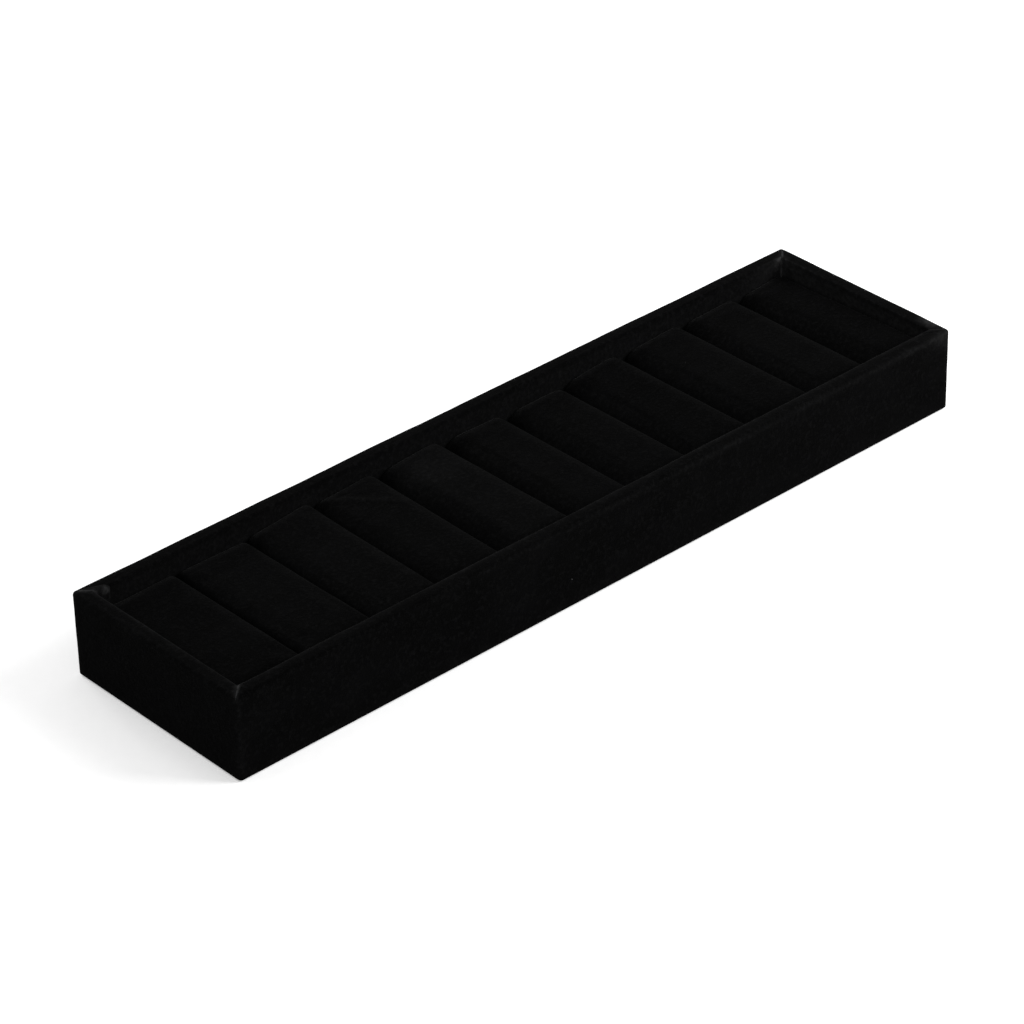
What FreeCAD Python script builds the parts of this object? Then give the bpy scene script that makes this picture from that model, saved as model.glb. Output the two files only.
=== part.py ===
import FreeCAD
import Part
import math
import os

# A long, low jewelry tray: a box of thin boards wrapped in velvet, holding a row of velvet-covered
# foam pads that lie across it. The slots between the pads are open at the top.
# Millimetres. The origin is under the middle of the tray, +X runs along it, +Z is up,
# and the front wall is at -Y.

# Pads: their widths along the row, from the left end to the right, set the length of the tray
first_pad_width = 34.6
pad_width = 30.7
last_pad_width = 26.9
middle_pad_count = 9
pad_length = 77.2
pad_height = 23.2
# Each side of a pad leans in towards its top, and the whole row leans a little to the right
pad_side_taper = 1.5
pad_lean = 1.1
# The top is a low crown between a broad left shoulder, which opens the slot beside it, and a sharp right one
pad_crown = 0.5
pad_left_shoulder_radius = 6.5
pad_right_shoulder_radius = 1.7
# Pads stand foot to foot, just clear of each other and of the walls, so that each one lifts out
foot_gap = 0.6
pad_end_clearance = 0.4
row_end_clearance = 0.3
# A pad's velvet is folded over in layers at both ends of the foam, and turned under it as a glued hem
cover_thickness = 0.9
cover_end_thickness = 2.7
cover_hem_width = 8.0
# The folded ends round off: the top drops and the sides draw in over their thickness. Each pair is a
# place, from the end inwards, and how much of the drop and the draw is left there
pad_end_drop = 1.2
pad_end_draw = 0.7
end_fold_shares = ((0.0, 1.0), (0.13, 0.29), (0.44, 0.0), (1.0, 0.0))

# Boards: four walls lapped at the corners, and a base let into a rebate along their lower edge
tray_height = 35.0
wall_board_thickness = 4.2
base_board_thickness = 3.0
corner_lap_depth = 2.0
base_rebate_depth = 2.0
outer_easing = 0.6
inner_easing = 0.5

# Fabrics: one strip of velvet goes up the outside, over the rim and down the inside of the walls,
# and its lower hem is turned under the base and hidden by a sheet glued to the underside
wrap_thickness = 0.9
wrap_hem_width = 14.0
wrap_bottom_radius = 0.6
floor_lining_thickness = 0.9
bottom_sheet_thickness = 0.5
bottom_sheet_margin = 3.0
bottom_sheet_corner_radius = 2.0

# How far a cutting block runs past what it cuts, and how near counts as touching
overrun = 5.0
touching = 0.001

# Levels and outlines that follow from the sizes above
pad_widths = [first_pad_width] + [pad_width] * middle_pad_count + [last_pad_width]
well_length = sum(pad_widths) + 2 * row_end_clearance
well_width = pad_length + 2 * pad_end_clearance
wall_thickness = wall_board_thickness + 2 * wrap_thickness
tray_length = well_length + 2 * wall_thickness
tray_width = well_width + 2 * wall_thickness
base_bottom = bottom_sheet_thickness + wrap_thickness
base_top = base_bottom + base_board_thickness
floor_top = base_top + floor_lining_thickness
boards_length = tray_length - 2 * wrap_thickness
boards_width = tray_width - 2 * wrap_thickness
boards_top = tray_height - wrap_thickness
inside_boards_length = boards_length - 2 * wall_board_thickness
inside_boards_width = boards_width - 2 * wall_board_thickness
base_length = inside_boards_length + 2 * base_rebate_depth
base_width = inside_boards_width + 2 * base_rebate_depth


def centred_block(length, width, bottom, top):
    """A block centred over the origin."""
    corner = FreeCAD.Vector(-length / 2, -width / 2, bottom)
    return Part.makeBox(length, width, top - bottom, corner)


def upright_edges(block):
    """The edges of a block that stand along Z."""
    return [edge for edge in block.Edges if edge.BoundBox.ZLength > touching]


def level_edges(solid, level):
    """The edges that lie in one level."""
    return [edge for edge in solid.Edges if all(abs(end.Z - level) < touching for end in edge.Vertexes)]


def mouth_edges(solid, level, well):
    """The edges, in one level, of the mouth of a well."""
    reach_x = well.BoundBox.XMax + touching
    reach_y = well.BoundBox.YMax + touching
    found = []
    for edge in level_edges(solid, level):
        if all(abs(end.X) < reach_x and abs(end.Y) < reach_y for end in edge.Vertexes):
            found.append(edge)
    return found


def walled_block(length, width, bottom, top, well, outer_radius, inner_radius):
    """A block with rounded upright corners and a well sunk in it, with both edges of its rim rounded."""
    block = centred_block(length, width, bottom, top)
    block = block.makeFillet(outer_radius, upright_edges(block))
    block = block.makeFillet(outer_radius, level_edges(block, top))
    block = block.cut(well)
    return block.makeFillet(inner_radius, mouth_edges(block, top, well))


def wall_boards():
    """The four walls: the end boards are let into laps cut in the ends of the two long boards."""
    inside = centred_block(
        inside_boards_length, inside_boards_width, base_bottom - overrun, boards_top + overrun
    )
    walls = walled_block(
        boards_length, boards_width, base_bottom, boards_top, inside, outer_easing, inner_easing
    )
    walls = walls.cut(base_board())
    end_span = boards_width - 2 * (wall_board_thickness - corner_lap_depth)
    end_place = FreeCAD.Vector(-boards_length / 2, -end_span / 2, base_bottom)
    left_region = Part.makeBox(wall_board_thickness, end_span, boards_top - base_bottom, end_place)
    right_region = left_region.translated(FreeCAD.Vector(boards_length - wall_board_thickness, 0, 0))
    front_place = FreeCAD.Vector(-tray_length / 2, -tray_width / 2, 0)
    front_region = Part.makeBox(tray_length, tray_width / 2, tray_height, front_place)
    long_walls = walls.cut(left_region).cut(right_region)
    return {
        "left_end_board": walls.common(left_region),
        "right_end_board": walls.common(right_region),
        "front_wall_board": long_walls.common(front_region),
        "back_wall_board": long_walls.cut(front_region),
    }


def base_board():
    """The floor panel, seated in the walls' rebate and flush with their lower edge."""
    return centred_block(base_length, base_width, base_bottom, base_top)


def velvet_wrap(boards):
    """The velvet over the walls: outside, rim, inside and the hem turned under the base."""
    well = centred_block(well_length, well_width, base_top, tray_height + overrun)
    outer_radius = outer_easing + wrap_thickness
    inner_radius = inner_easing + wrap_thickness
    skin = walled_block(
        tray_length, tray_width, bottom_sheet_thickness, tray_height, well, outer_radius, inner_radius
    )
    skin = skin.makeFillet(wrap_bottom_radius, level_edges(skin, bottom_sheet_thickness))
    for board in boards:
        skin = skin.cut(board)
    window_length = tray_length - 2 * wrap_hem_width
    window_width = tray_width - 2 * wrap_hem_width
    window = centred_block(window_length, window_width, bottom_sheet_thickness - overrun, base_bottom)
    return skin.cut(window)


def bottom_sheet():
    """The sheet under the tray, short of its edges, that it stands on."""
    length = tray_length - 2 * bottom_sheet_margin
    width = tray_width - 2 * bottom_sheet_margin
    sheet = centred_block(length, width, 0, bottom_sheet_thickness)
    return sheet.makeFillet(bottom_sheet_corner_radius, upright_edges(sheet))


def pad_section(width, y, pull, inset):
    """One cross-section of a pad, with its crown, unlike shoulders and leaning sides."""
    left_radius = pad_left_shoulder_radius - inset
    right_radius = pad_right_shoulder_radius - inset
    bottom = floor_top + inset
    top = floor_top + pad_height - pad_crown - pull * pad_end_drop - inset
    half_foot = (width - foot_gap) / 2 - pull * pad_end_draw - inset

    def lean_share(level):
        return (level - floor_top) / (pad_height - pad_crown)

    def right_side(level):
        return half_foot - (pad_side_taper - pad_lean) * lean_share(level)

    def left_side(level):
        return (pad_side_taper + pad_lean) * lean_share(level) - half_foot

    def point(x, z):
        return FreeCAD.Vector(x, y, z)

    right_level = top - right_radius
    left_level = top - left_radius
    right_centre = right_side(right_level) - right_radius
    left_centre = left_side(left_level) + left_radius
    diagonal = math.sqrt(0.5)
    right_bend = point(right_centre + right_radius * diagonal, right_level + right_radius * diagonal)
    left_bend = point(left_centre - left_radius * diagonal, left_level + left_radius * diagonal)
    foot_left = point(left_side(bottom), bottom)
    foot_right = point(right_side(bottom), bottom)
    side_right = point(right_centre + right_radius, right_level)
    side_left = point(left_centre - left_radius, left_level)
    top_right = point(right_centre, top)
    top_left = point(left_centre, top)
    crown = point((left_centre + right_centre) / 2, top + pad_crown)
    edges = [
        Part.LineSegment(foot_left, foot_right).toShape(),
        Part.LineSegment(foot_right, side_right).toShape(),
        Part.Arc(side_right, right_bend, top_right).toShape(),
        Part.Arc(top_right, crown, top_left).toShape(),
        Part.Arc(top_left, left_bend, side_left).toShape(),
        Part.LineSegment(side_left, foot_left).toShape(),
    ]
    return Part.Wire(edges)


def pad_form(width):
    """The outside of a pad: a bar with a crowned top and rounded ends."""
    half_length = pad_length / 2
    back = []
    front = []
    for place, pull in end_fold_shares:
        y = half_length - place * cover_end_thickness
        back.append(pad_section(width, y, pull, 0))
        front.insert(0, pad_section(width, -y, pull, 0))
    return Part.makeLoft(back + front, True, True)


def foam_bar(width):
    """The foam in a pad, cut square at both ends."""
    foam_length = pad_length - 2 * cover_end_thickness
    face = Part.Face(pad_section(width, -foam_length / 2, 0, cover_thickness))
    return face.extrude(FreeCAD.Vector(0, foam_length, 0))


def pad_pieces(width, centre):
    """A pad's foam bar and the velvet cover round it, open under the foam inside its hem."""
    place = FreeCAD.Vector(centre, 0, 0)
    foam = foam_bar(width)
    window_length = width - foot_gap - 2 * cover_hem_width
    window_width = pad_length - 2 * cover_hem_width
    window = centred_block(window_length, window_width, floor_top - overrun, floor_top + cover_thickness)
    cover = pad_form(width).cut(foam).cut(window)
    return foam.translated(place), cover.translated(place)


pieces = wall_boards()
pieces["base_board"] = base_board()
pieces["velvet_wrap"] = velvet_wrap(list(pieces.values()))
pieces["floor_lining"] = centred_block(well_length, well_width, base_top, floor_top)
pieces["bottom_sheet"] = bottom_sheet()

row_place = -sum(pad_widths) / 2
for number, width in enumerate(pad_widths, start=1):
    foam, cover = pad_pieces(width, row_place + width / 2)
    pieces[f"pad_foam_{number:02d}"] = foam
    pieces[f"pad_cover_{number:02d}"] = cover
    row_place += width

os.makedirs("parts", exist_ok=True)
for name, shape in pieces.items():
    solid = shape.Solids[0]
    print(name, shape.ShapeType, len(shape.Solids), shape.isValid(), round(solid.Volume, 1))
    solid.exportStep(f"parts/{name}.step")
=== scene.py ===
import math

import bmesh
import bpy
from mathutils import Matrix, Vector, noise


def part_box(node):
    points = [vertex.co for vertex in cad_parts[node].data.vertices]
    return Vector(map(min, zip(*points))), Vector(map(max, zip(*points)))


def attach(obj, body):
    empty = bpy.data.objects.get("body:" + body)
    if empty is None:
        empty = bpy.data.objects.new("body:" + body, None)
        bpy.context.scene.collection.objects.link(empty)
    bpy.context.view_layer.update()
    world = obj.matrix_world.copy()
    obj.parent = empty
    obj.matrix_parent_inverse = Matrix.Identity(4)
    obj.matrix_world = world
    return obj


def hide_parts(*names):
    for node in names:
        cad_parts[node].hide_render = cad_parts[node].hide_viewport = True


# A long, low jewelry tray: fibreboard walls wrapped in black velvet, with a row of eleven
# velvet-covered foam pads lying across it. Metres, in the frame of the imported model:
# +X runs along the tray, the front wall is at -Y and +Z is up.
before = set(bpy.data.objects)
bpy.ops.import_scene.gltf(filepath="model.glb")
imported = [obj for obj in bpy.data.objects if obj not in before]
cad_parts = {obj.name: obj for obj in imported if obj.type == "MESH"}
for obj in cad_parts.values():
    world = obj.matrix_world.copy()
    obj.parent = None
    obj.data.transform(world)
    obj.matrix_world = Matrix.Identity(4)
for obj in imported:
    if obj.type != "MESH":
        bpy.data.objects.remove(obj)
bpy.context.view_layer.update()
bpy.context.scene.view_settings.view_transform = "Standard"


# Boards: four walls and a base of thin fibreboard, sawn to size, lapped at the corners and glued.
# The velvet covers them on every side, so they show only as the form under it.
BOARD_NODES = ("base_board", "front_wall_board", "back_wall_board", "left_end_board", "right_end_board")
BOARD_PALE = (0.50, 0.37, 0.24, 1)
BOARD_DARK = (0.33, 0.23, 0.14, 1)
BOARD_FLECKS = (0.20, 0.13, 0.08, 1)


def start_material(name):
    """A new material, its node tree and its main shader."""
    material = bpy.data.materials.new(name)
    material.use_nodes = True
    tree = material.node_tree
    return material, tree, tree.nodes["Principled BSDF"]


def add_node(tree, kind, inputs, **settings):
    """A node of one kind, with its settings, and each input set to a value or linked to a socket."""
    made = tree.nodes.new(kind)
    for name, value in settings.items():
        setattr(made, name, value)
    for name, value in inputs.items():
        if isinstance(value, bpy.types.NodeSocket):
            tree.links.new(value, made.inputs[name])
        else:
            made.inputs[name].default_value = value
    return made


def object_place(tree, stretch=(1, 1, 1)):
    """A piece's own coordinates, in metres, stretched for patterns that run one way."""
    place = add_node(tree, "ShaderNodeTexCoord", {}).outputs["Object"]
    return add_node(tree, "ShaderNodeMapping", {"Vector": place, "Scale": stretch}).outputs[0]


def mottle(tree, place, scale, detail=2.0, distortion=0.0):
    """Soft noise over a place, from 0 to 1."""
    inputs = {"Vector": place, "Scale": scale, "Detail": detail, "Distortion": distortion}
    return add_node(tree, "ShaderNodeTexNoise", inputs).outputs["Fac"]


def spread(tree, value, low, high, to_low=0.0, to_high=1.0):
    """A value's range from low to high, spread over another range."""
    inputs = {"Value": value, "From Min": low, "From Max": high, "To Min": to_low, "To Max": to_high}
    return add_node(tree, "ShaderNodeMapRange", inputs).outputs["Result"]


def blend_colours(tree, share, first, second):
    """The first colour where the share is 0, going over to the second where it is 1."""
    mix = add_node(tree, "ShaderNodeMix", {}, data_type="RGBA")
    for socket, value in zip((mix.inputs[0], mix.inputs[6], mix.inputs[7]), (share, first, second)):
        if isinstance(value, bpy.types.NodeSocket):
            tree.links.new(value, socket)
        else:
            socket.default_value = value
    return mix.outputs[2]


def raise_bump(tree, shader, height, distance, strength):
    """Gives a shader the relief of a height pattern."""
    bump = add_node(tree, "ShaderNodeBump", {"Height": height, "Distance": distance, "Strength": strength})
    tree.links.new(bump.outputs["Normal"], shader.inputs["Normal"])


def fibreboard():
    """Pressed wood fibres, pale brown with dark flecks, dusty and matt."""
    material, tree, shader = start_material("fibreboard")
    fibres = mottle(tree, object_place(tree, (1, 3, 3)), 900, 4, 1.2)
    flecks = spread(tree, mottle(tree, object_place(tree), 2400, 1), 0.62, 0.72)
    colour = blend_colours(tree, spread(tree, fibres, 0.3, 0.7), BOARD_DARK, BOARD_PALE)
    colour = blend_colours(tree, flecks, colour, BOARD_FLECKS)
    tree.links.new(colour, shader.inputs["Base Color"])
    tree.links.new(spread(tree, fibres, 0.2, 0.8, 0.75, 0.95), shader.inputs["Roughness"])
    raise_bump(tree, shader, fibres, 0.0001, 0.5)
    return material


board_finish = fibreboard()
for node in BOARD_NODES:
    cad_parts[node].material_slots[0].material = board_finish


# The velvet wrap: one strip of black velvet glued up the outside of the walls, over the rim and down the
# inside, with its lower hem turned under the base. At each corner the spare cloth is folded into a dart
# that starts at the outer corner, widens over the rim and goes down inside.
VELVET_THICKNESS = 0.0009
WALL_THICKNESS = 0.006
WRAP_HEM_WIDTH = 0.014
OUTER_RADIUS = 0.0015
RIM_STEP = 0.0018
INNER_RADIUS = 0.0009
BOTTOM_RADIUS = 0.0006
CUT_CLEARANCE = 0.00004
HEM_LEVEL = 0.0001
# The squares that the cloth is cut into, along the walls and up them, and its unevenness: its height, the
# scale of its broad and its fine ripples, and the height below which the hem keeps flat
WRAP_PITCH = 0.005
WRAP_PITCH_UP = 0.0042
WRAP_UNEVENNESS = 0.00016
BROAD_RIPPLES = 45
FINE_RIPPLES = 130
FLAT_HEM_HEIGHT = 0.002
# The pile's colours: in its depth and in its lighter strokes, at its tips and on its tufts, where it is worn
# right open and where painted light and sheen lift it, and the lint on it, with how far each speck is frayed
PILE_DEPTH = (0.0009, 0.0009, 0.0009, 1)
PILE_STROKES = (0.0017, 0.0017, 0.0018, 1)
PILE_TIPS = (0.0040, 0.0040, 0.0041, 1)
PILE_TUFTS = (0.0030, 0.0030, 0.0031, 1)
WORN_PILE_AND_PAINTED_LIGHT = (0.090, 0.090, 0.092, 1)
LINT = (0.045, 0.045, 0.045, 1)
LINT_FRAY = (0.0009, 0.0009, 0.0009)
# How far the pile is rubbed open, with painted sheen, along the rim's two edges; painted light down the
# upright corners; and painted light that lifts the shade on the inside of each wall
RUB_AND_SHEEN_WIDTH = 0.0013
OUTER_RUB_AND_SHEEN = {"left": 0.04, "front": 0.045, "back": 0.04, "right": 0.04}
OUTER_RUB_AND_SHEEN_DROP = {"left": 0.0, "front": 0.0010, "back": 0.0, "right": 0.0}
INNER_RUB_AND_SHEEN = {"left": 0.050, "front": 0.050, "back": 0.0, "right": 0.0}
UPRIGHT_PAINTED_LIGHT = 0.05
INNER_PAINTED_LIGHT = {"left": 0.015, "front": 0.015, "back": 0.028, "right": 0.11}
PAINTED_LIGHT_FADE = 0.003
# Painted sheen by the front right corner, on the front wall and on the rim of the right one: the place
# of each patch, its reach each way and how strong it is
PAINTED_SHEEN_PATCHES = (
    (Vector((0.172, -0.045, 0.0335)), Vector((0.006, 0.002, 0.004)), 0.09),
    (Vector((0.1735, -0.0365, 0.035)), Vector((0.0022, 0.0032, 0.002)), 0.30),
)
# Painted light inside the back right corner, lifting its shade: its place, its reach and how strong it is
NOOK_PLACE = Vector((0.169, 0.039))
NOOK_REACH = 0.012
NOOK_PAINTED_LIGHT = 0.06
# Each corner's side of the tray, the wall that carries its dart, the dart's width at the inner corner, the
# level of its foot inside and its rise; then how far the pile is open, with painted sheen, on its flat, at
# the outer and at the inner end of its mitre, and in the seam below it
DARTS = (
    ((-1, 1), "long", 0.0060, 0.0293, 0.0005, 0.09, 0.75, 0.25, 0.10),
    ((-1, -1), "long", 0.0030, 0.0293, 0.0002, 0.06, 0.30, 0.45, 0.05),
    ((1, 1), "end", 0.0022, 0.0338, 0.0003, 0.08, 0.45, 0.55, 0.9),
    ((1, -1), "long", 0.0050, 0.0293, 0.0002, 0.04, 0.20, 0.08, 0.05),
)
DART_MARK = -1.0
OUTER_TILT = 0.2
SEAM_WIDTH = 0.0008
MITRE_GLOW = 0.25
# A bunched place on one of the darts: its place along and across the wall from the outer corner, its drop
# below the rim, its radius, its rise and how far its pile is open, with painted sheen
BUNCHES = {(-1, 1): (0.0102, 0.0060, 0.0014, 0.0013, 0.0004, 0.55)}


def make_block(bm, low, high):
    """A block between its lowest and highest corner."""
    verts = bmesh.ops.create_cube(bm, size=1)["verts"]
    bmesh.ops.scale(bm, vec=high - low, verts=verts)
    bmesh.ops.translate(bm, vec=(low + high) / 2, verts=verts)


def round_edges(bm, edges, radius, segments):
    """Rounds edges off."""
    bmesh.ops.bevel(
        bm, geom=edges, offset=radius, offset_type="OFFSET", segments=segments, profile=0.5,
        affect="EDGES", material=-1,
    )


def is_upright(edge):
    """Whether an edge stands along Z."""
    return abs(edge.verts[0].co.z - edge.verts[1].co.z) > 0.9 * edge.calc_length()


def highest(faces):
    """The face that lies highest."""
    return max(faces, key=lambda face: face.calc_center_median().z)


def lowest(faces):
    """The face that lies lowest."""
    return min(faces, key=lambda face: face.calc_center_median().z)


def extrude_face(bm, face, keep=False):
    """Extrudes one face, and gives the new one. The old one goes unless it is kept."""
    made = bmesh.ops.extrude_face_region(bm, geom=[face], use_keep_orig=True)["geom"]
    if not keep:
        bmesh.ops.delete(bm, geom=[face], context="FACES_ONLY")
    return next(part for part in made if isinstance(part, bmesh.types.BMFace))


def cut_faces(bm, faces, point, normal):
    """Cuts some faces of a mesh along a plane. A dict keeps their parts in the same order in each run."""
    parts = dict.fromkeys(faces)
    for face in faces:
        parts.update(dict.fromkeys([*face.edges, *face.verts]))
    bmesh.ops.bisect_plane(bm, geom=list(parts), dist=CUT_CLEARANCE, plane_co=point, plane_no=normal)


def cut_across(bm, axis, low, high, pitch):
    """Cuts a mesh into even strips along one axis, so that the cloth can bend."""
    direction = Vector([1.0 if i == axis else 0.0 for i in range(3)])
    count = round((high - low) / pitch)
    for i in range(1, count):
        place = direction * (low + (high - low) * i / count)
        cut_faces(bm, bm.faces[:], place, direction)


def cut_hem(bm, low, high, width):
    """Opens the cloth under a piece, all but a hem of one width round its foot."""
    def is_under(face):
        """Whether a face lies flat under the piece."""
        return all(vert.co.z < low.z + HEM_LEVEL for vert in face.verts)

    def is_open(face):
        """Whether a face lies inside the hem."""
        centre = face.calc_center_median()
        return all(low[i] + width < centre[i] < high[i] - width for i in (0, 1))

    for axis in (Vector((1, 0, 0)), Vector((0, 1, 0))):
        for place in (low + axis * width, high - axis * width):
            cut_faces(bm, [face for face in bm.faces if is_under(face)], place, axis)
    window = [face for face in bm.faces if is_under(face) and is_open(face)]
    bmesh.ops.delete(bm, geom=window, context="FACES")


def wrap_over_walls(low, high, floor):
    """The bare form of the wrap: a rounded block with a well, open at its floor and under the base."""
    bm = bmesh.new()
    make_block(bm, low, high)
    top_edges = list(highest(bm.faces).edges)
    round_edges(bm, top_edges + [edge for edge in bm.edges if is_upright(edge)], OUTER_RADIUS, 5)
    rim = highest(bm.faces)
    for step in (RIM_STEP, WALL_THICKNESS - OUTER_RADIUS - RIM_STEP):
        bmesh.ops.inset_region(bm, faces=[rim], thickness=step, use_even_offset=True)
    well_floor = extrude_face(bm, rim)
    bmesh.ops.translate(bm, vec=(0, 0, floor - high.z), verts=well_floor.verts)
    bmesh.ops.delete(bm, geom=[well_floor], context="FACES_ONLY")
    reach_x = high.x - WALL_THICKNESS + OUTER_RADIUS / 2
    reach_y = high.y - WALL_THICKNESS + OUTER_RADIUS / 2
    mouth = [edge for edge in bm.edges if is_mouth(edge, high.z, reach_x, reach_y)]
    round_edges(bm, mouth, INNER_RADIUS, 4)
    underside = lowest(bm.faces)
    round_edges(bm, list(underside.edges), BOTTOM_RADIUS, 3)
    cut_hem(bm, low, high, WRAP_HEM_WIDTH)
    for axis, half in ((Vector((1, 0, 0)), high.x), (Vector((0, 1, 0)), high.y)):
        for reach in (WALL_THICKNESS / 2, WALL_THICKNESS + SEAM_WIDTH):
            cut_faces(bm, bm.faces[:], axis * (half - reach), axis)
            cut_faces(bm, bm.faces[:], -axis * (half - reach), axis)
    for step in (1, 2, 3):
        cut_faces(bm, bm.faces[:], high - Vector((0, 0, OUTER_RADIUS + step * RUB_AND_SHEEN_WIDTH)), Vector((0, 0, 1)))
    bmesh.ops.recalc_face_normals(bm, faces=bm.faces)
    return bm


def is_mouth(edge, level, reach_x, reach_y):
    """Whether an edge lies round the mouth of the well."""
    return all(
        abs(end.co.z - level) < 1e-6 and abs(end.co.x) < reach_x and abs(end.co.y) < reach_y
        for end in edge.verts
    )


def wall_inset(co, high):
    """How far a point lies inside the outline of the tray."""
    return min(high.x - abs(co.x), high.y - abs(co.y))


def wall_at(co, high):
    """The wall that a point belongs to."""
    if high.x - abs(co.x) < high.y - abs(co.y):
        return "right" if co.x > 0 else "left"
    return "back" if co.y > 0 else "front"


def rubbed_and_painted_light(co, high):
    """How far the pile is open at a point of the wrap, from 0 to 1, with painted sheen along the rim's edges
    and painted light on the upright corners and the inner walls.
    """
    wall = wall_at(co, high)
    inset = wall_inset(co, high)
    drop = high.z - co.z
    inner = Vector((WALL_THICKNESS - inset, drop)).length / RUB_AND_SHEEN_WIDTH
    outer = Vector((inset, drop - OUTER_RUB_AND_SHEEN_DROP[wall])).length / RUB_AND_SHEEN_WIDTH
    upright = Vector((high.x - abs(co.x), high.y - abs(co.y))).length / RUB_AND_SHEEN_WIDTH
    # The rim's inner and outer lines: rubbed pile with painted sheen. On the front wall the outer line is
    # painted lighter towards the right.
    painted_light_rightwards = 0.5 + 0.45 * co.x / high.x if wall == "front" else 1.0
    rub_and_sheen = INNER_RUB_AND_SHEEN[wall] * math.exp(-inner * inner) + OUTER_RUB_AND_SHEEN[wall] * painted_light_rightwards * math.exp(-outer * outer)
    # Painted light down the upright corners, stronger near the rim.
    rub_and_sheen += UPRIGHT_PAINTED_LIGHT * (1 + 1.5 * math.exp(-drop / PAINTED_LIGHT_FADE)) * math.exp(-upright * upright)
    wear_and_painted_light = rub_and_sheen * (0.8 + 0.6 * noise.noise(co * 40))
    # Painted light on the inside of each wall, lifting its shade, stronger lower down.
    if inset > WALL_THICKNESS - INNER_RADIUS:
        wear_and_painted_light += INNER_PAINTED_LIGHT[wall] * min(1, 0.25 + drop / PAINTED_LIGHT_FADE)
        # Painted light lifting the shade in the back right inner corner.
        into_nook = (co.to_2d() - NOOK_PLACE).length / NOOK_REACH
        wear_and_painted_light += NOOK_PAINTED_LIGHT * math.exp(-into_nook * into_nook)
    # Painted sheen patches by the front right corner.
    for place, reach, painted_sheen in PAINTED_SHEEN_PATCHES:
        off = Vector([part / limit for part, limit in zip(co - place, reach)])
        wear_and_painted_light += painted_sheen * math.exp(-off.length_squared)
    return wear_and_painted_light


def second_layer(bm, faces):
    """Lays a second layer of cloth over some faces, and gives its vertices, to be raised."""
    made = bmesh.ops.duplicate(bm, geom=faces)["geom"]
    bm.normal_update()
    return [part for part in made if isinstance(part, bmesh.types.BMVert)]


def fold_dart(bm, wear_and_painted_light, high, side, wall, width, foot, rise, flat, outer_end, inner_end):
    """Folds a corner's spare cloth flat, as a raised layer from its mitre to the dart's free edge, its pile
    open and with painted sheen.
    """
    outer = Vector((side[0] * high.x, side[1] * high.y, 0))
    along = Vector((-side[0], 0, 0)) if wall == "long" else Vector((0, -side[1], 0))
    into_well = Vector((0, -side[1], 0)) if wall == "long" else Vector((-side[0], 0, 0))
    up = Vector((0, 0, 1))
    mitre = (along + into_well) * WALL_THICKNESS
    free = mitre + along * width
    mitre_normal = (along - into_well).normalized()
    free_normal = (along * free.dot(into_well) - into_well * free.dot(along)).normalized()

    def near_corner(face):
        """Whether a face lies by the corner, above the foot of the dart."""
        centre = face.calc_center_median()
        return centre.z > foot and (centre - outer).to_2d().length < 4 * WALL_THICKNESS

    for normal in (mitre_normal, free_normal):
        cut_faces(bm, [face for face in bm.faces if near_corner(face)], outer, normal)
    fold = []
    for face in filter(near_corner, bm.faces):
        offset = face.calc_center_median() - outer
        between = offset.dot(mitre_normal) > CUT_CLEARANCE and offset.dot(free_normal) < 0
        if between and max(face.normal.z, face.normal.dot(into_well)) > OUTER_TILT:
            fold.append(face)
    for vert in second_layer(bm, fold):
        vert[wear_and_painted_light] = DART_MARK
    edges = [edge for edge in bm.edges if all(vert[wear_and_painted_light] == DART_MARK for vert in edge.verts)]
    bmesh.ops.subdivide_edges(bm, edges=edges, cuts=3, use_grid_fill=True)
    bm.normal_update()

    def streak_at(co):
        """How far the pile is open along the mitre at a point, with painted sheen."""
        inward = min(1, (co - outer).to_2d().length / mitre.length)
        off_mitre = (co - outer).dot(mitre_normal) / SEAM_WIDTH
        return (outer_end + (inner_end - outer_end) * inward) * math.exp(-off_mitre * off_mitre)

    # Painted sheen along the mitre on the rim.
    for vert in bm.verts:
        on_rim = vert.co.z > high.z - OUTER_RADIUS and (vert.co - outer).to_2d().length < 2 * WALL_THICKNESS
        if on_rim and vert[wear_and_painted_light] != DART_MARK:
            vert[wear_and_painted_light] = max(vert[wear_and_painted_light], MITRE_GLOW * streak_at(vert.co))
    bunch_along, bunch_across, drop, radius, bunch_rise, bunch_open_and_sheen = BUNCHES.get(side, (0, 0, 0, 1, 0, 0))
    bunch = outer + along * bunch_along + into_well * bunch_across + up * (high.z - drop)
    for vert in [vert for vert in bm.verts if vert[wear_and_painted_light] == DART_MARK]:
        inward = min(1, (vert.co - outer).to_2d().length / mitre.length)
        upward = (vert.co.z - foot) / (high.z - foot)
        bunched = math.exp(-((vert.co - bunch).length / radius) ** 2)
        opened_and_sheen = max(flat * (0.3 + 0.7 * upward), streak_at(vert.co), bunch_open_and_sheen * bunched)
        vert[wear_and_painted_light] = max(rubbed_and_painted_light(vert.co, high), opened_and_sheen * (0.8 + 0.5 * noise.noise(vert.co * 900)))
        away = up * max(0, vert.normal.z) + into_well * max(0, vert.normal.dot(into_well))
        across = min(1, (vert.co - outer).dot(mitre_normal) / width)
        lift = rise * (0.3 + 0.7 * across) * min(1, 0.25 + inward) * min(1, 0.2 + 2 * upward)
        vert.co += away.normalized() * (lift + bunch_rise * bunched)


wrap_low, wrap_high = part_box("velvet_wrap")
floor_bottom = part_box("floor_lining")[0].z
wrap_mesh = wrap_over_walls(wrap_low, wrap_high, floor_bottom)
cut_across(wrap_mesh, 0, wrap_low.x, wrap_high.x, WRAP_PITCH)
cut_across(wrap_mesh, 1, wrap_low.y, wrap_high.y, WRAP_PITCH)
cut_across(wrap_mesh, 2, wrap_low.z, wrap_high.z, WRAP_PITCH_UP)
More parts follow.
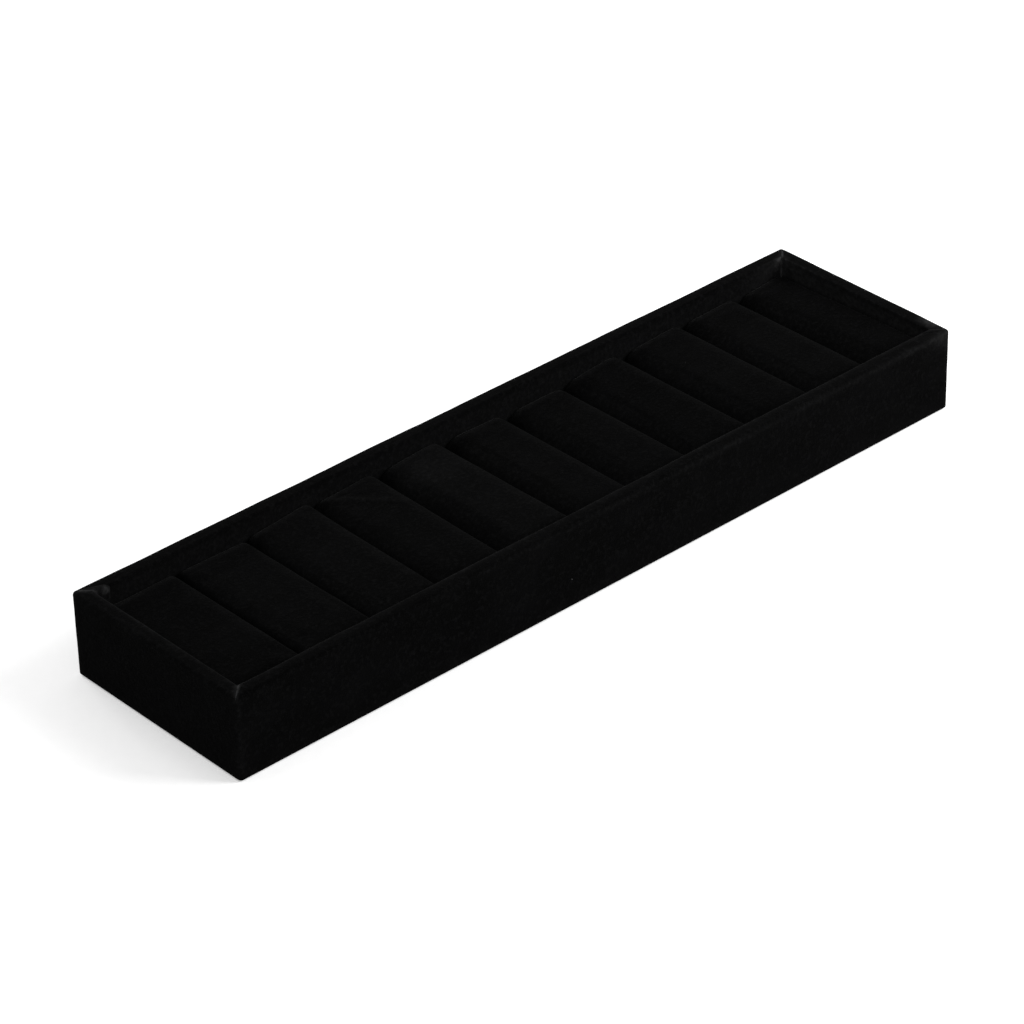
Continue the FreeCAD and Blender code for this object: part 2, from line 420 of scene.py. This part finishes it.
# Each point's wear, with painted sheen and painted light mixed in.
wrap_wear_and_painted_light = wrap_mesh.verts.layers.float.new("wear_and_painted_light")
for vert in wrap_mesh.verts:
    vert[wrap_wear_and_painted_light] = rubbed_and_painted_light(vert.co, wrap_high)
for side, wall, width, foot, rise, flat, outer_end, inner_end, seam in DARTS:
    corner = Vector((side[0] * (wrap_high.x - WALL_THICKNESS), side[1] * (wrap_high.y - WALL_THICKNESS)))
    for vert in wrap_mesh.verts:
        # The seam down the inner corner: open pile with painted sheen, lighter towards the rim.
        off_seam = (vert.co.to_2d() - corner).length / SEAM_WIDTH
        in_seam = seam * (0.3 + 0.7 * vert.co.z / wrap_high.z) * math.exp(-off_seam * off_seam)
        vert[wrap_wear_and_painted_light] = max(vert[wrap_wear_and_painted_light], in_seam)
    fold_dart(wrap_mesh, wrap_wear_and_painted_light, wrap_high, side, wall, width, foot, rise, flat, outer_end, inner_end)
wrap_mesh.normal_update()
for vert in wrap_mesh.verts:
    if vert.co.z > wrap_low.z + FLAT_HEM_HEIGHT:
        ripple = noise.noise(vert.co * BROAD_RIPPLES) + 0.5 * noise.noise(vert.co * FINE_RIPPLES)
        vert.co += vert.normal * ripple * WRAP_UNEVENNESS


def black_velvet(name, painted_shade):
    """Short dense pile: near-black where it faces you, paler at a glance, paler where it is worn and where
    light and sheen are painted in, and darker where shade is painted in.
    """
    material, tree, shader = start_material(name)
    place = object_place(tree)
    nap = mottle(tree, place, 38, 3, 0.7)
    strokes = mottle(tree, object_place(tree, (1, 4, 2)), 60, 2, 0.4)
    pile = mottle(tree, place, 2600, 2)
    tufts = mottle(tree, place, 700, 3)
    shade = add_node(tree, "ShaderNodeMath", {0: nap, 1: strokes}, operation="MULTIPLY").outputs[0]
    colour = blend_colours(tree, spread(tree, shade, 0.12, 0.44), PILE_DEPTH, PILE_STROKES)
    colour = blend_colours(tree, spread(tree, pile, 0.55, 0.8), colour, PILE_TIPS)
    colour = blend_colours(tree, spread(tree, tufts, 0.52, 0.75), colour, PILE_TUFTS)
    # Painted shade: the whole colour darkened towards black.
    colour = blend_colours(tree, painted_shade, colour, (0, 0, 0, 1))
    # The wear attribute holds real wear together with painted sheen and painted light.
    wear_and_painted_light = add_node(tree, "ShaderNodeAttribute", {}, attribute_name="wear_and_painted_light").outputs["Fac"]
    worn_and_painted_light = add_node(
        tree, "ShaderNodeMath", {0: wear_and_painted_light, 1: spread(tree, tufts, 0.3, 0.7, 0.45, 1.0)}, operation="MULTIPLY"
    ).outputs[0]
    colour = blend_colours(tree, worn_and_painted_light, colour, WORN_PILE_AND_PAINTED_LIGHT)
    ragged = add_node(tree, "ShaderNodeTexNoise", {"Vector": place, "Scale": 1500.0}).outputs["Color"]
    frayed = add_node(
        tree, "ShaderNodeVectorMath", {0: ragged, 1: LINT_FRAY, 2: place}, operation="MULTIPLY_ADD"
    ).outputs[0]
    cells = add_node(tree, "ShaderNodeTexVoronoi", {"Vector": frayed, "Scale": 95.0})
    rare = add_node(tree, "ShaderNodeSeparateColor", {"Color": cells.outputs["Color"]}).outputs["Red"]
    speck = spread(tree, cells.outputs["Distance"], 0.03, 0.018)
    speck = add_node(
        tree, "ShaderNodeMath", {0: speck, 1: spread(tree, rare, 0.88, 0.90)}, operation="MULTIPLY"
    ).outputs[0]
    colour = blend_colours(tree, speck, colour, LINT)
    tree.links.new(colour, shader.inputs["Base Color"])
    tree.links.new(spread(tree, nap, 0.2, 0.8, 0.85, 1.0), shader.inputs["Roughness"])
    shader.inputs["Specular IOR Level"].default_value = 0.0
    shader.inputs["Sheen Weight"].default_value = 0.02
    shader.inputs["Sheen Roughness"].default_value = 0.4
    relief = add_node(tree, "ShaderNodeMath", {0: pile, 1: tufts}, operation="ADD").outputs[0]
    raise_bump(tree, shader, relief, 0.00025, 0.6)
    return material


def make_piece(bm, name, material):
    """Puts a finished mesh in the scene as a named piece."""
    mesh = bpy.data.meshes.new(name)
    bm.to_mesh(mesh)
    bm.free()
    mesh.shade_smooth()
    mesh.materials.append(material)
    piece = bpy.data.objects.new(name, mesh)
    bpy.context.scene.collection.objects.link(piece)
    return piece


def give_thickness(piece, thickness):
    """Turns a surface into cloth of one thickness, from its outer face inwards."""
    solidify = piece.modifiers.new("thickness", "SOLIDIFY")
    solidify.thickness = thickness
    solidify.offset = -1


velvet = black_velvet("black_velvet", 0.0)
wrap = make_piece(wrap_mesh, "wrap", velvet)
give_thickness(wrap, VELVET_THICKNESS)
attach(wrap, "tray")
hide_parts("velvet_wrap")


# The floor lining: a flat piece of the same velvet, laid in the well and glued to the base, with its
# edges pressed up against the walls. The pads stand on it.
LINING_PITCH = 0.004
LINING_UNEVENNESS = 0.00008
LINING_RIPPLES = 60


def lay_sheet(low, high, pitch):
    """A level cloth at the top of a box, cut into small squares."""
    bm = bmesh.new()
    columns = round((high.x - low.x) / pitch)
    rows = round((high.y - low.y) / pitch)
    verts = bmesh.ops.create_grid(bm, x_segments=columns, y_segments=rows, size=0.5)["verts"]
    bmesh.ops.scale(bm, vec=(high.x - low.x, high.y - low.y, 1), verts=verts)
    bmesh.ops.translate(bm, vec=(0, 0, high.z), verts=verts)
    return bm


lining_low, lining_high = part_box("floor_lining")
lining_mesh = lay_sheet(lining_low, lining_high, LINING_PITCH)
for vert in lining_mesh.verts:
    vert.co.z += (noise.noise(vert.co * LINING_RIPPLES) - 1) * LINING_UNEVENNESS
lining = make_piece(lining_mesh, "lining", velvet)
give_thickness(lining, VELVET_THICKNESS - 2 * LINING_UNEVENNESS)
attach(lining, "tray")
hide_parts("floor_lining")


# The bottom sheet: thin pressed felt with rounded corners, glued under the base over the velvet's hem.
# The tray stands on it.
FELT_PALE = (0.020, 0.020, 0.022, 1)
FELT_DARK = (0.008, 0.008, 0.009, 1)
FELT_CLUMPS = (0.026, 0.026, 0.028, 1)
FELT_CORNER_RADIUS = 0.002
FELT_PITCH = 0.006
FELT_UNEVENNESS = 0.00005
FELT_RIPPLES = 80


def pressed_felt():
    """Matted fibres, darker and duller than the velvet's pile."""
    material, tree, shader = start_material("pressed_felt")
    place = object_place(tree)
    matting = mottle(tree, place, 420, 5, 1.5)
    clumps = mottle(tree, place, 70, 3)
    fibres = add_node(
        tree, "ShaderNodeTexVoronoi", {"Vector": place, "Scale": 1600.0}, feature="DISTANCE_TO_EDGE"
    ).outputs["Distance"]
    colour = blend_colours(tree, spread(tree, matting, 0.3, 0.7), FELT_DARK, FELT_PALE)
    colour = blend_colours(tree, spread(tree, clumps, 0.55, 0.75), colour, FELT_CLUMPS)
    tree.links.new(colour, shader.inputs["Base Color"])
    tree.links.new(spread(tree, matting, 0.2, 0.8, 0.88, 1.0), shader.inputs["Roughness"])
    shader.inputs["Specular IOR Level"].default_value = 0.05
    relief = add_node(tree, "ShaderNodeMath", {0: matting, 1: fibres}, operation="ADD").outputs[0]
    raise_bump(tree, shader, relief, 0.0003, 0.7)
    return material


felt_low, felt_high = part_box("bottom_sheet")
felt_mesh = bmesh.new()
felt_outline = bmesh.ops.create_grid(felt_mesh, x_segments=1, y_segments=1, size=0.5)["verts"]
bmesh.ops.scale(felt_mesh, vec=(felt_high.x - felt_low.x, felt_high.y - felt_low.y, 1), verts=felt_outline)
bmesh.ops.bevel(
    felt_mesh, geom=felt_outline, offset=FELT_CORNER_RADIUS, offset_type="OFFSET", segments=5, profile=0.5,
    affect="VERTICES", material=-1,
)
cut_across(felt_mesh, 0, felt_low.x, felt_high.x, FELT_PITCH)
cut_across(felt_mesh, 1, felt_low.y, felt_high.y, FELT_PITCH)
for vert in felt_mesh.verts:
    vert.co.z = felt_high.z + (noise.noise(vert.co * FELT_RIPPLES) - 1) * FELT_UNEVENNESS
felt_finish = pressed_felt()
felt_sheet = make_piece(felt_mesh, "felt_sheet", felt_finish)
give_thickness(felt_sheet, felt_high.z - felt_low.z - 2 * FELT_UNEVENNESS)
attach(felt_sheet, "tray")
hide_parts("bottom_sheet")


# The pads: bars of soft foam, each drawn tight into its own velvet cover. The velvet is folded over the
# ends like a parcel and glued under the foam as a hem. They stand foot to foot, lean a little to the
# right and lie unevenly, as they were pressed in by hand.
PAD_COUNT = 11
PAD_CROWN = 0.0005
RIGHT_LEAN = 0.0004
LEFT_LEANS = (0.0010, -0.0020, 0.0014, 0.0020, 0.0016) + (0.0026,) * 3 + (0.0014,) + (0.0026,) * 2
LEFT_SHOULDERS = (0.0024, 0.0024, 0.0030, 0.0045) + (0.0065,) * 7
RIGHT_SHOULDER = 0.0017
CORNER_RADII = (0.0010, 0.0012, 0.0012) + (0.0028,) * 8
FOOT_RADIUS = 0.0012
PAD_HEM_WIDTH = 0.008
CLOTH_PITCH = 0.0024
# The ends: room for the folds over them, the shares of the width from the middle to a fold's edge at the top
# and at the foot, their unevenness, and how their edges drop and draw in. Each pair is a place, from the end
# inwards, and the share of the drop and the draw that is left there
FLAP_RISE = 0.00045
FLAP_TOP_SHARE = 0.46
FLAP_FOOT_SHARE = 0.20
END_UNEVENNESS = 0.00012
END_RIPPLES = 90
END_DROP = 0.0012
END_DRAW = 0.0007
END_PLACES = ((0.0, 1.0), (0.00035, 0.29), (0.0012, 0.0))
# How each pad lies: the change of height at its left, at its right and towards its front, and its lean
PAD_LIES = (
    (-0.0003, 0.0002, 0.0003, -0.0007),
    (-0.0001, -0.0009, 0.0002, 0.0015),
    (-0.0013, 0.0016, -0.0007, -0.0005),
    (-0.0009, 0.0011, -0.0006, -0.0012),
    (0.0001, 0.0020, 0.0003, 0.0000),
    (0.0000, -0.0005, 0.0001, 0.0006),
    (-0.0018, -0.0016, 0.0001, 0.0013),
    (-0.0010, 0.0015, 0.0002, -0.0016),
    (-0.0004, 0.0011, 0.0002, 0.0008),
    (0.0000, 0.0007, 0.0003, -0.0002),
    (0.0000, 0.0016, 0.0010, 0.0000),
)
TOP_UNEVENNESS = 0.00022
TOP_RIPPLES = 60
# Painted shade: how much darker the pads' copy of the velvet is
PAD_PAINTED_SHADE = 0.18
# How far the pile is rubbed open, with painted sheen, along the pads' ends and over their bends; how much
# lighter the top of each one is; and painted light that lifts the shade on its ends and, more and more
# towards its foot, on its left side
END_RUB_AND_SHEEN = 0.045
END_RUB_AND_SHEEN_WIDTH = 0.0020
BEND_RUB_AND_SHEEN = 0.005
PAD_TOP_LIGHTENING = (0.0, 0.002, 0.010, 0.006, 0.010) + (0.0,) * 6
FLAT_TOP = 0.95
END_PAINTED_LIGHT = 0.02
SIDE_PAINTED_LIGHT = 0.034
SIDE_PAINTED_LIGHT_START = 0.4
SIDE_PAINTED_LIGHT_DEPTH = 0.008
# A long drag line in the fourth pad's cover, and a patch of the fifth's that is brushed open
DRAG_LINE = (Vector((-0.0645, 0.0356)), Vector((-0.0470, 0.0158)))
DRAG_RISE = 0.0004
DRAG_WIDTH = 0.0017
DRAG_WEAR = 0.014
BRUSHED_PLACE = Vector((-0.028, 0.025))
BRUSHED_RADIUS = 0.012
BRUSHED_WEAR = 0.02
# The covers are blown up at this scale, because the cloth solver is made for pieces near a metre long
SWELL_SCALE = 10.0
SWELL_FRAMES = 20
SWELL_PRESSURE = 4.0
SWELL_CAP = Vector((0.00015, 0.0001, 0.00025))


def bar_section(bm, low, high, number, inset):
    """A pad's cross-section: a flat foot, leaning sides, and a broad left and a sharp right shoulder."""
    left, right = low.x + inset, high.x - inset
    foot, top = low.z + inset, high.z - PAD_CROWN - inset
    left_shoulder, left_lean = LEFT_SHOULDERS[number - 1], LEFT_LEANS[number - 1]
    outline = ((left, foot), (right, foot), (right - RIGHT_LEAN, top), (left + left_lean, top))
    corners = [bm.verts.new((x, 0, z)) for x, z in outline]
    bm.faces.new(corners)
    radii = (FOOT_RADIUS, FOOT_RADIUS, RIGHT_SHOULDER - inset, left_shoulder - inset)
    for corner, radius, segments in zip(corners, radii, (3, 3, 3, 6)):
        bmesh.ops.bevel(
            bm, geom=[corner], offset=radius, offset_type="OFFSET", segments=segments, profile=0.5,
            affect="VERTICES", material=-1,
        )
    for edge in list(bm.edges):
        cuts = round(edge.calc_length() / CLOTH_PITCH) - 1
        if cuts > 0:
            bmesh.ops.subdivide_edges(bm, edges=[edge], cuts=cuts)


def pull_end(verts, low, high, before, after):
    """Draws a section in and drops its top, from one share of the end's rounding to another."""
    centre = (low.x + high.x) / 2

    def size(share):
        """The width and the height of the section, for a share of the end's rounding."""
        return 1 - 2 * END_DRAW * share / (high.x - low.x), 1 - END_DROP * share / (high.z - low.z)

    wide = size(after)[0] / size(before)[0]
    tall = size(after)[1] / size(before)[1]
    for vert in verts:
        vert.co.x = centre + (vert.co.x - centre) * wide
        vert.co.z = low.z + (vert.co.z - low.z) * tall


def in_fixed_order(bm):
    """The same mesh with its points and faces in one order, so that the cloth solver gives one result."""
    verts = sorted(bm.verts, key=lambda vert: (vert.co.y, vert.co.x, vert.co.z))
    rank = {vert: i for i, vert in enumerate(verts)}
    rings = []
    for face in bm.faces:
        ring = [rank[vert] for vert in face.verts]
        start = ring.index(min(ring))
        rings.append(ring[start:] + ring[:start])
    ordered = bmesh.new()
    points = [ordered.verts.new(vert.co) for vert in verts]
    for ring in sorted(rings):
        ordered.faces.new([points[i] for i in ring])
    ordered.normal_update()
    bm.free()
    return ordered


def make_bar(low, high, number, inset, end_places):
    """A pad's bar: its section drawn out from the front end to the back one."""
    bm = bmesh.new()
    bar_section(bm, low, high, number, inset)
    run = high.y - end_places[-1][0]
    steps = round(2 * run / CLOTH_PITCH)
    stations = [(-high.y + place, pull) for place, pull in end_places]
    stations += [(-run + 2 * run * i / steps, 0.0) for i in range(1, steps)]
    stations += [(high.y - place, pull) for place, pull in reversed(end_places)]
    front = face = bm.faces[:][0]
    pull_end(face.verts, low, high, 0.0, stations[0][1])
    bmesh.ops.translate(bm, vec=(0, stations[0][0], 0), verts=face.verts)
    for (y, pull), (next_y, next_pull) in zip(stations, stations[1:]):
        face = extrude_face(bm, face, keep=face is front)
        pull_end(face.verts, low, high, pull, next_pull)
        bmesh.ops.translate(bm, vec=(0, next_y - y, 0), verts=face.verts)
    bmesh.ops.recalc_face_normals(bm, faces=bm.faces)
    return in_fixed_order(bm)


def swell_together(covers):
    """Blows all the covers up a little, as cloth drawn over foam, and takes the cloth solver off again."""
    scene = bpy.context.scene
    before = [[vert.co.copy() for vert in cover.data.vertices] for cover in covers]
    for cover in covers:
        cover.data.transform(Matrix.Scale(SWELL_SCALE, 4))
        foot = min(vert.co.z for vert in cover.data.vertices)
        glued = [vert.index for vert in cover.data.vertices if vert.co.z < foot + SWELL_SCALE * FOOT_RADIUS]
        cover.vertex_groups.new(name="glued").add(glued, 1.0, "REPLACE")
        cloth = cover.modifiers.new("cloth", "CLOTH")
        cloth.settings.vertex_group_mass = "glued"
        cloth.settings.use_pressure = True
        cloth.settings.uniform_pressure_force = SWELL_PRESSURE
        cloth.settings.effector_weights.gravity = 0.0
        cloth.collision_settings.use_collision = False
        cloth.point_cache.frame_start = 1
        cloth.point_cache.frame_end = SWELL_FRAMES
    for step in range(1, SWELL_FRAMES + 1):
        scene.frame_set(step)
    graph = bpy.context.evaluated_depsgraph_get()
    for cover, starts in zip(covers, before):
        blown = [vert.co / SWELL_SCALE for vert in cover.evaluated_get(graph).data.vertices]
        cover.modifiers.clear()
        cover.vertex_groups.clear()
        for vert, start, end in zip(cover.data.vertices, starts, blown):
            vert.co = start + Vector([max(-cap, min(cap, go)) for go, cap in zip(end - start, SWELL_CAP)])
    scene.frame_set(1)


def drag(co):
    """How strong the drag line is at a point, from 0 to 1."""
    start, end = DRAG_LINE
    line = end - start
    share = max(0, min(1, (co.to_2d() - start).dot(line) / line.length_squared))
    off = (co.to_2d() - start - line * share).length / DRAG_WIDTH
    return math.exp(-off * off) * (1 - 0.6 * share)


def cut_finer(bm):
    """Cuts the top finer round the drag line, so that the cloth can bend there."""
    near = [edge for edge in bm.edges if drag((edge.verts[0].co + edge.verts[1].co) / 2) > 0.001]
    near = [edge for edge in near if all(vert.normal.z > 0.9 for vert in edge.verts)]
    bmesh.ops.subdivide_edges(bm, edges=near, cuts=3, use_grid_fill=True)
    bm.normal_update()


def round_corner(co, low, high, number):
    """Rounds the right-hand corners of a pad's top, as seen from above, and leaves its foot."""
    radius = CORNER_RADII[number - 1]
    centre = (low.x + high.x) / 2
    into_corner = max(0, min(radius, abs(co.y) - (high.y - FLAP_RISE - radius)))
    pull = radius - math.sqrt(radius * radius - into_corner * into_corner)
    height = (co.z - low.z) / (high.z - low.z)
    share = max(0, (co.x - centre) / (high.x - centre)) * max(0, height) ** 2
    return Vector((co.x - pull * share, co.y, co.z))


def lie_unevenly(co, low, high, number):
    """Where a point of a pad goes as the pad lies: its foot stays, and its top tilts and leans."""
    left, right, front, lean = PAD_LIES[number - 1]
    height = (co.z - low.z) / (high.z - low.z)
    across = (co.x - low.x) / (high.x - low.x)
    rise = left + (right - left) * across - front * co.y / high.y
    return Vector((co.x + lean * height, co.y, co.z + rise * height))


def fold_end(bm, low, high, side):
    """Folds the top velvet down over an end, narrowing towards the foot, over the two side folds."""
    centre = (low.x + high.x) / 2
    slants = []
    for hand in (-1, 1):
        top = Vector((centre + hand * FLAP_TOP_SHARE * (high.x - low.x), 0, high.z))
        foot = Vector((centre + hand * FLAP_FOOT_SHARE * (high.x - low.x), 0, low.z))
        slants.append((top, Vector((foot.z - top.z, 0, top.x - foot.x)).normalized() * hand))

    def is_end(face):
        """Whether a face belongs to the end."""
        place = face.calc_center_median()
        return place.y * side > high.y - FLAP_RISE - END_PLACES[-1][0] and face.normal.z > -0.5

    for axis in (Vector((1, 0, 0)), Vector((0, 0, 1))):
        span = (high - low).dot(axis)
        count = round(span / CLOTH_PITCH)
        for i in range(1, count):
            flat_end = [face for face in bm.faces if is_end(face) and face.normal.y * side > 0.9]
            cut_faces(bm, flat_end, low + axis * (span * i / count), axis)
    for point, normal in slants:
        cut_faces(bm, [face for face in bm.faces if is_end(face)], point, normal)
    flap = []
    for face in filter(is_end, bm.faces):
        if all((face.calc_center_median() - point).dot(normal) > 0 for point, normal in slants):
            flap.append(face)
    for vert in second_layer(bm, flap):
        beyond = (vert.co.y * side - (high.y - FLAP_RISE - END_PLACES[-1][0])) / END_PLACES[-1][0]
        vert.co.y += side * FLAP_RISE * max(0, min(1, beyond))


def open_pile(normal):
    """How far the pile opens over a bend: 0 on a flat face, 1 on a rounded edge between two faces."""
    return min(1.0, (1 - max(abs(part) for part in normal)) / (1 - math.sqrt(0.5)))


# The pads' velvet: a darker copy, with painted shade.
pad_velvet_painted_shade = black_velvet("pad_velvet_painted_shade", PAD_PAINTED_SHADE)
covers = []
for number in range(1, PAD_COUNT + 1):
    low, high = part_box(f"pad_cover_{number:02d}")
    inner_end = Vector((high.x, high.y - FLAP_RISE, high.z))
    bar = make_bar(low, inner_end, number, 0.0, END_PLACES)
    covers.append(make_piece(bar, f"cover_{number:02d}", pad_velvet_painted_shade))
swell_together(covers)

for number, cover in enumerate(covers, start=1):
    low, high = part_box(f"pad_cover_{number:02d}")
    bm = bmesh.new()
    bm.from_mesh(cover.data)
    cut_hem(bm, low, high, PAD_HEM_WIDTH)
    bm.normal_update()
    fold_end(bm, low, high, -1)
    fold_end(bm, low, high, 1)
    bm.normal_update()
    cut_finer(bm)
    wear_and_painted_light = bm.verts.layers.float.new("wear_and_painted_light")
    bm.normal_update()
    for vert in bm.verts:
        below_top = max(0, high.z - PAD_CROWN - vert.co.z)
        from_end = Vector((high.y - FLAP_RISE - abs(vert.co.y), below_top)).length / END_RUB_AND_SHEEN_WIDTH
        # Rubbed pile with painted sheen along the ends and over the bends.
        vert[wear_and_painted_light] = BEND_RUB_AND_SHEEN * open_pile(vert.normal) + END_RUB_AND_SHEEN * math.exp(-from_end * from_end)
        # The tops of some pads are made lighter.
        if vert.normal.z > FLAT_TOP:
            vert[wear_and_painted_light] += PAD_TOP_LIGHTENING[number - 1]
        # Painted light on the ends and, more and more towards the foot, on the left sides, lifting their
        # shade.
        elif abs(vert.normal.y) > abs(vert.normal.x):
            vert[wear_and_painted_light] += END_PAINTED_LIGHT
        elif vert.normal.x < 0:
            vert[wear_and_painted_light] += SIDE_PAINTED_LIGHT * min(1, SIDE_PAINTED_LIGHT_START + below_top / SIDE_PAINTED_LIGHT_DEPTH)
        brushed = (vert.co.to_2d() - BRUSHED_PLACE).length / BRUSHED_RADIUS
        vert[wear_and_painted_light] += BRUSHED_WEAR * math.exp(-brushed * brushed)
        if vert.normal.z > 0.3:
            vert[wear_and_painted_light] += DRAG_WEAR * drag(vert.co)
            soft = noise.noise(vert.co * TOP_RIPPLES + Vector((0, 0, number))) * TOP_UNEVENNESS
            vert.co.z += soft + DRAG_RISE * drag(vert.co)
        elif abs(vert.normal.y) > 0.7:
            vert.co.y += noise.noise(vert.co * END_RIPPLES) * END_UNEVENNESS
        vert.co = lie_unevenly(round_corner(vert.co, low, high, number), low, high, number)
    bm.to_mesh(cover.data)
    bm.free()
    cover.data.shade_smooth()
    finer = cover.modifiers.new("finer", "SUBSURF")
    finer.levels = finer.render_levels = 1
    give_thickness(cover, VELVET_THICKNESS)
    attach(cover, f"pad_{number:02d}")
    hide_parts(f"pad_cover_{number:02d}")


# The foam in the pads: open-cell foam cut square at both ends. It shows only from below, inside the hem.
FOAM_INSET = 0.0010
FOAM_PORES = (0.016, 0.016, 0.017, 1)
FOAM_WALLS = (0.060, 0.060, 0.063, 1)
FOAM_DIRT = (0.035, 0.034, 0.033, 1)


def open_cell_foam():
    """Grey foam full of fine pores."""
    material, tree, shader = start_material("open_cell_foam")
    place = object_place(tree)
    pores = add_node(tree, "ShaderNodeTexVoronoi", {"Vector": place, "Scale": 900.0}).outputs["Distance"]
    dirt = mottle(tree, place, 55, 3)
    colour = blend_colours(tree, spread(tree, pores, 0.1, 0.6), FOAM_PORES, FOAM_WALLS)
    colour = blend_colours(tree, spread(tree, dirt, 0.5, 0.8), colour, FOAM_DIRT)
    tree.links.new(colour, shader.inputs["Base Color"])
    tree.links.new(spread(tree, pores, 0.1, 0.6, 0.95, 0.8), shader.inputs["Roughness"])
    shader.inputs["Specular IOR Level"].default_value = 0.1
    raise_bump(tree, shader, pores, 0.0006, 0.8)
    return material


foam_finish = open_cell_foam()
for number in range(1, PAD_COUNT + 1):
    low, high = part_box(f"pad_cover_{number:02d}")
    foam_end = Vector((high.x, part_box(f"pad_foam_{number:02d}")[1].y, high.z))
    bar = make_bar(low, foam_end, number, FOAM_INSET, ((0.0, 0.0),))
    for vert in bar.verts:
        vert.co = lie_unevenly(vert.co, low, high, number)
    foam = make_piece(bar, f"foam_{number:02d}", foam_finish)
    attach(foam, f"pad_{number:02d}")
    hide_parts(f"pad_foam_{number:02d}")


# The stage: a plain white table under soft studio light, with a large softbox to the right, seen from
# above the left end of the tray.
EYE = Vector((-0.87469, -0.97363, 0.84755))
EYE_RIGHT = Vector((0.73865, -0.67378, -0.02047))
EYE_FORWARD = Vector((0.55951, 0.62974, -0.53887))
LENS_MM = 149.1
TABLE_SIZE = 8.0
TABLE_DARK = (0.80, 0.80, 0.80, 1)
TABLE_PALE = (0.84, 0.84, 0.84, 1)


def white_table():
    """White paper that keeps the tray's shadow and looks white to the camera."""
    material, tree, shader = start_material("white_table")
    grain = mottle(tree, object_place(tree), 300, 3)
    colour = blend_colours(tree, spread(tree, grain, 0.3, 0.7), TABLE_DARK, TABLE_PALE)
    tree.links.new(colour, shader.inputs["Base Color"])
    shader.inputs["Roughness"].default_value = 0.9
    shader.inputs["Emission Color"].default_value = (1, 1, 1, 1)
    tree.links.new(spread(tree, seen_directly(tree), 0, 1, 0.0, 0.35), shader.inputs["Emission Strength"])
    return material


def seen_directly(tree):
    """1 for what the camera, a mirror or glass shows, and 0 for light on the tray."""
    path = add_node(tree, "ShaderNodeLightPath", {})
    seen = path.outputs["Is Camera Ray"]
    for ray in ("Is Glossy Ray", "Is Transmission Ray"):
        seen = add_node(
            tree, "ShaderNodeMath", {0: seen, 1: path.outputs[ray]}, operation="MAXIMUM"
        ).outputs[0]
    return seen


def add_softbox(name, place, target, size, power):
    """A square lamp that faces a point."""
    lamp = bpy.data.lights.new(name, "AREA")
    lamp.shape = "SQUARE"
    lamp.size = size
    lamp.energy = power
    softbox = bpy.data.objects.new(name, lamp)
    softbox.location = place
    softbox.rotation_euler = (Vector(target) - Vector(place)).to_track_quat("-Z", "Y").to_euler()
    bpy.context.scene.collection.objects.link(softbox)


table_mesh = bmesh.new()
bmesh.ops.create_grid(table_mesh, x_segments=8, y_segments=8, size=TABLE_SIZE / 2)
table = make_piece(table_mesh, "table", white_table())

world = bpy.data.worlds.new("studio")
bpy.context.scene.world = world
world.use_nodes = True
backdrop = world.node_tree.nodes["Background"]
backdrop.inputs["Color"].default_value = (1, 1, 1, 1)
world.node_tree.links.new(
    spread(world.node_tree, seen_directly(world.node_tree), 0, 1, 0.52, 1.0), backdrop.inputs["Strength"]
)
add_softbox("softbox_right", (0.85, -0.75, 0.75), (0.1, 0, 0.02), 0.8, 20)
add_softbox("softbox_back", (-0.2, 1.2, 1.0), (0, 0, 0.02), 0.8, 9)

camera_data = bpy.data.cameras.new("camera")
camera_data.lens = LENS_MM
camera_data.sensor_width = 36
camera = bpy.data.objects.new("camera", camera_data)
bpy.context.scene.collection.objects.link(camera)
eye_up = EYE_RIGHT.cross(EYE_FORWARD).normalized()
turn = Matrix((EYE_RIGHT.normalized(), eye_up, -EYE_FORWARD.normalized())).transposed()
camera.matrix_world = Matrix.Translation(EYE) @ turn.to_4x4()
bpy.context.scene.camera = camera
